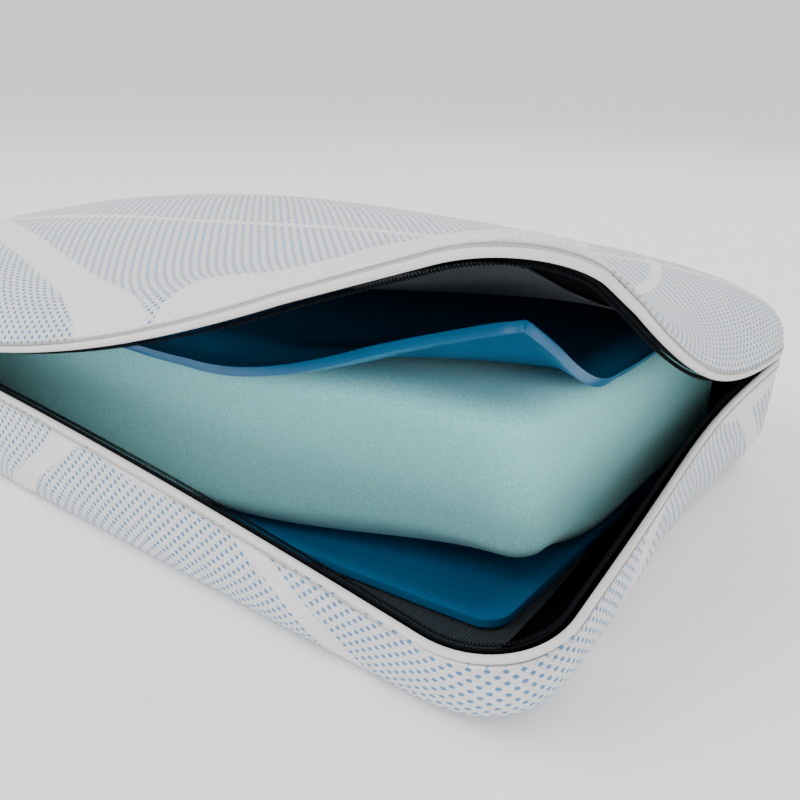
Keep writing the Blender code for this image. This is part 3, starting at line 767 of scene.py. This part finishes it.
def outlinePoints(inset, step):
    # Points evenly spaced round the rounded outline, starting at the middle of the left end
    halfL, halfD, radius = coverSize(inset)
    points = []
    corners = [(-1, -1), (1, -1), (1, 1), (-1, 1)]
    turnStart = [math.pi, 1.5 * math.pi, 0, 0.5 * math.pi]
    for (sideX, sideY), begin in zip(corners, turnStart):
        centre = Vector((sideX * (halfL - radius), sideY * (halfD - radius)))
        count = max(4, round(radius * math.pi / 2 / step))
        for number in range(count + 1):
            turn = begin + math.pi / 2 * number / count
            points.append((centre.x + radius * math.cos(turn), centre.y + radius * math.sin(turn)))
    filled = []
    for here, after in zip(points, points[1:] + points[:1]):
        gap = math.hypot(after[0] - here[0], after[1] - here[1])
        count = max(1, round(gap / step))
        for number in range(count):
            share = number / count
            filled.append((here[0] + (after[0] - here[0]) * share, here[1] + (after[1] - here[1]) * share))
    return filled


def upperRim(x, y, above):
    p = pillow
    flat = Vector((x, y, p["seamHeight"] + above))
    lifted = curl(flat, p["lidStart"], p["lidWidth"], p["lidAngle"], lidNeutral)
    lifted.x = drawIn(lifted.x, lifted.y, p["upperWaist"])
    return lifted


def lowerRim(x, y, above):
    p = pillow
    fall = lipFall(x, y)
    lip = p["seamHeight"] - p["lipOffset"] - p["lipDrop"] * fall
    height = p["seamHeight"] + above - p["lipDrop"] * fall
    return lowerLip(x, y, min(1, height / lip), height)


def sweep(name, material, path, radius, sides, closed):
    # A round cord extruded ring by ring along a path, with its length written as cloth coordinates
    shape = bmesh.new()
    steps = len(path)
    edges, rings, along = None, [], 0.0
    for number, at in enumerate(path):
        after = path[(number + 1) % steps] if closed or number + 1 < steps else at
        before = path[number - 1] if closed or number else at
        ahead = (after - before).normalized()
        across = ahead.cross(Vector((0, 0, 1))).normalized()
        rise = across.cross(ahead)
        if edges is None:
            ring = bmesh.ops.create_circle(shape, segments=sides, radius=1)["verts"]
            edges = shape.edges[:]
        else:
            grown = bmesh.ops.extrude_edge_only(shape, edges=edges)["geom"]
            edges = [part for part in grown if isinstance(part, bmesh.types.BMEdge)
                     and all(v in grown for v in part.verts)]
            fresh = [part for part in grown if isinstance(part, bmesh.types.BMVert)]
            ring = [None] * sides
            for vertex in fresh:
                for link in vertex.link_edges:
                    other = link.other_vert(vertex)
                    if other in order:
                        ring[order[other]] = vertex
        for turn, vertex in enumerate(ring):
            angle = 2 * math.pi * turn / sides
            vertex.co = at + (across * math.cos(angle) + rise * math.sin(angle)) * radius
        order = {vertex: turn for turn, vertex in enumerate(ring)}
        rings.append((ring, along))
        along += (after - at).length
        edges = [edge for edge in edges if all(v in order for v in edge.verts)]
    if closed:
        first = [edge for edge in shape.edges if all(v in rings[0][0] for v in edge.verts)]
        bmesh.ops.bridge_loops(shape, edges=first + edges)
    else:
        for end, _ in (rings[0], rings[-1]):
            shape.faces.new(end)
    place = {vertex: (length, turn / sides) for ring, length in rings for turn, vertex in enumerate(ring)}
    layer = shape.loops.layers.uv.new("cloth")
    for face in shape.faces:
        for loop in face.loops:
            loop[layer].uv = place[loop.vert]
    bmesh.ops.recalc_face_normals(shape, faces=shape.faces[:])
    return finishMesh(shape, name, material)


pipingSizes = {"radius": 0.0020, "seam": 0.0012, "inset": 0.0011, "step": 0.004, "sides": 12,
               "tail": 0.0008, "tailRise": 0.0061, "tailInset": 0.0009, "tailSides": 8}
rise = pipingSizes["seam"] + pipingSizes["radius"]
ringPoints = outlinePoints(pipingSizes["inset"], pipingSizes["step"])
pipingUpper = sweep("piping_upper_cord", binding, [upperRim(x, y, rise) for x, y in ringPoints],
                    pipingSizes["radius"], pipingSizes["sides"], True)
swingWithLid(pipingUpper)
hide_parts("piping_upper_back", "piping_upper_front", "piping_upper_lid", "piping_upper_right")
pipingLower = sweep("piping_lower_cord", binding, [lowerRim(x, y, -rise) for x, y in ringPoints],
                    pipingSizes["radius"], pipingSizes["sides"], True)
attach(pipingLower, "pillow")
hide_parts("piping_base")
# the flat tail of each binding, sewn in between the cord and the knit
tailPoints = outlinePoints(pipingSizes["tailInset"], pipingSizes["step"])
rise = pipingSizes["tailRise"]
tailUpper = sweep("piping_upper_tail", binding, [upperRim(x, y, rise) for x, y in tailPoints],
                  pipingSizes["tail"], pipingSizes["tailSides"], True)
swingWithLid(tailUpper)
tailLower = sweep("piping_lower_tail", binding, [lowerRim(x, y, -rise) for x, y in tailPoints],
                  pipingSizes["tail"], pipingSizes["tailSides"], True)
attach(tailLower, "pillow")
print("piping made")

# Zip halves behind the piping
zipSizes = {
    "inset": 0.00695, "step": 0.005, "sideShare": 0.9, "leftEnd": 0.8, "rightShare": 0.85, "backEnd": 0.86,
    "tapeLow": 0.0042, "tapeHigh": 0.0150, "tapeWidth": 0.011, "tapeLean": 0.0012, "tape": 0.0007,
    "coilRise": 0.002, "coilPitch": 0.0016, "coilReach": 0.0008, "coilRadius": 0.0004, "coilSides": 5,
}


def zipStretch():
    # The run of the zip: along the front from near its left end, round the open corner and up the right end
    z = zipSizes
    halfL, halfD = pillow["halfLength"], pillow["halfDepth"]
    points = outlinePoints(z["inset"], z["step"])
    run = [p for p in points if p[1] < -halfD * z["sideShare"] and p[0] > -halfL * z["leftEnd"]]
    run += [p for p in points if p[0] > halfL * z["rightShare"]
            and -halfD * z["sideShare"] <= p[1] < halfD * z["backEnd"]]
    run.sort(key=lambda p: math.atan2(p[1], p[0]))
    return run


def zipTape(name, place, near, far):
    run = zipStretch()
    shape = bmesh.new()
    bmesh.ops.create_grid(shape, x_segments=len(run) - 1, y_segments=3, size=1)
    plan = {}
    for vertex in shape.verts:
        number = round((vertex.co.x + 1) / 2 * (len(run) - 1))
        across = (vertex.co.y + 1) / 2
        x, y = run[number]
        scale = 1 - zipSizes["tapeLean"] * across / math.hypot(x, y)
        plan[vertex] = (number * zipSizes["step"], across * zipSizes["tapeWidth"])
        vertex.co = place(x * scale, y * scale, near + (far - near) * across)
    layer = shape.loops.layers.uv.new("cloth")
    for face in shape.faces:
        for loop in face.loops:
            loop[layer].uv = plan[loop.vert]
    return thicken(finishMesh(shape, name, nylon), zipSizes["tape"], 0)


def zipCoil(name, place, above):
    # A fine coil of nylon wound along the edge of the tape, with four points to a turn
    z = zipSizes
    run = zipStretch()
    path = []
    for (x, y), (x2, y2) in zip(run, run[1:]):
        count = max(1, round(math.hypot(x2 - x, y2 - y) / z["coilPitch"] * 4))
        for number in range(count):
            share = number / count
            here = place(x + (x2 - x) * share, y + (y2 - y) * share, above)
            out = Vector((x, y, 0)).normalized()
            turn = len(path) * math.pi / 2
            path.append(here + (out * math.cos(turn) + Vector((0, 0, 1)) * math.sin(turn)) * z["coilReach"])
    return sweep(name, nylon, path, z["coilRadius"], z["coilSides"], False)


upperTape = zipTape("zip_tape_upper_run", upperRim, zipSizes["tapeLow"], zipSizes["tapeHigh"])
upperCoil = zipCoil("zip_coil_upper_run", upperRim, zipSizes["coilRise"])
for piece, kind in ((upperTape, "tape"), (upperCoil, "coil")):
    swingWithLid(piece)
    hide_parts(*[f"zip_{kind}_upper_{run}" for run in ("left", "front", "lid", "right", "back")])
lowerTape = zipTape("zip_tape_lower_run", lowerRim, -zipSizes["tapeLow"], -zipSizes["tapeHigh"])
lowerCoil = zipCoil("zip_coil_lower_run", lowerRim, -zipSizes["coilRise"])
for piece, kind in ((lowerTape, "tape"), (lowerCoil, "coil")):
    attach(piece, "pillow")
    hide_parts(f"zip_{kind}_base")
print("zip made")

# Sewing thread sunk in the seam between each piping cord and the knit
seamSizes = {"radius": 0.00045, "rise": 0.0061, "inset": -0.0004, "step": 0.005, "sides": 6}
seamPoints = outlinePoints(seamSizes["inset"], seamSizes["step"])
upperSeam = sweep("seam_thread_upper", thread, [upperRim(x, y, seamSizes["rise"]) for x, y in seamPoints],
                  seamSizes["radius"], seamSizes["sides"], True)
swingWithLid(upperSeam)
lowerSeam = sweep("seam_thread_lower", thread, [lowerRim(x, y, -seamSizes["rise"]) for x, y in seamPoints],
                  seamSizes["radius"], seamSizes["sides"], True)
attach(lowerSeam, "pillow")
print("seams made")

# Care label: a blank ribbon hanging from the back seam
labelLook = {"width": 0.028, "cloth": 0.0005, "clear": 0.0003, "wave": 0.0006}


def careLabel():
    low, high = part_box("care_label")
    top, length = high[2] - labelLook["clear"], high[2] - low[2] - 2 * labelLook["clear"]
    shape = bmesh.new()
    bmesh.ops.create_grid(shape, x_segments=14, y_segments=20, size=1)
    middle = (Vector(low) + Vector(high)) / 2
    for vertex in shape.verts:
        across, down = vertex.co.x, (vertex.co.y + 1) / 2
        sway = labelLook["wave"] * math.sin(down * 5 + across * 2) * down
        vertex.co = (middle.x + across * labelLook["width"] / 2, middle.y + sway, top - down * length)
    return thicken(finishMesh(shape, "care_label_ribbon", ribbon), labelLook["cloth"], 0)


label = careLabel()
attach(label, "pillow")
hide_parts("care_label")
print("label made")

for name in ("zip_slider", "zip_pull"):
    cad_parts[name].data.materials.clear()
    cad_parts[name].data.materials.append(plated)

# Floor, light and camera
studio = {
    "floor": "ffffff", "floorSize": 12, "floorDrop": 0.0005, "world": "ffffff", "worldStrength": 1.1,
    "lamps": (
        ("key light", (-0.9, -1.3, 1.9), (0.1, 0, 0.1), (1.8, 1.4), 40),
        ("corner fill", (1.6, -0.9, 0.9), (0.2, -0.1, 0.1), (1.2, 1.0), 9),
        ("back light", (0.3, 1.8, 1.6), (0, 0, 0.1), (2.2, 1.0), 16),
    ),
}


def floor():
    shape = bmesh.new()
    bmesh.ops.create_grid(shape, x_segments=1, y_segments=1, size=studio["floorSize"])
    painted = startMaterial("pale floor", Base_Color=dye(studio["floor"]), Roughness=0.9)[0]
    piece = finishMesh(shape, "floor", painted, smoothed=False)
    piece.location.z = -studio["floorDrop"]


def areaLight(name, place, aim, size, power):
    lamp = bpy.data.lights.new(name, "AREA")
    lamp.shape = "RECTANGLE"
    lamp.size, lamp.size_y = size
    lamp.energy = power
    made = bpy.data.objects.new(name, lamp)
    made.location = place
    made.rotation_euler = (Vector(aim) - Vector(place)).to_track_quat("-Z", "Y").to_euler()
    bpy.context.scene.collection.objects.link(made)


floor()
for lamp in studio["lamps"]:
    areaLight(*lamp)
world = bpy.data.worlds.new("studio")
bpy.context.scene.world = world
world.use_nodes = True
background = world.node_tree.nodes["Background"]
background.inputs[0].default_value = dye(studio["world"])
background.inputs[1].default_value = studio["worldStrength"]

cameraView = {"place": (0.4449, -0.4576, 0.2804), "yaw": 36.71, "pitch": 22.08, "roll": 0.98,
              "focal": 864.5, "picture": 800, "sensor": 36}


def studioCamera():
    c = cameraView
    yaw, pitch, roll = (math.radians(c[key]) for key in ("yaw", "pitch", "roll"))
    ahead = Vector((-math.sin(yaw) * math.cos(pitch), math.cos(yaw) * math.cos(pitch), -math.sin(pitch)))
    right = Vector((math.cos(yaw), math.sin(yaw), 0))
    up = right.cross(ahead)
    side = right * math.cos(roll) + up * math.sin(roll)
    top = up * math.cos(roll) - right * math.sin(roll)
    lens = bpy.data.cameras.new("camera")
    lens.sensor_width = c["sensor"]
    lens.lens = c["focal"] / c["picture"] * c["sensor"]
    lens.clip_start = 0.01
    made = bpy.data.objects.new("camera", lens)
    made.matrix_world = Matrix.Translation(c["place"]) @ Matrix((side, top, -ahead)).transposed().to_4x4()
    bpy.context.scene.collection.objects.link(made)
    bpy.context.scene.camera = made


studioCamera()
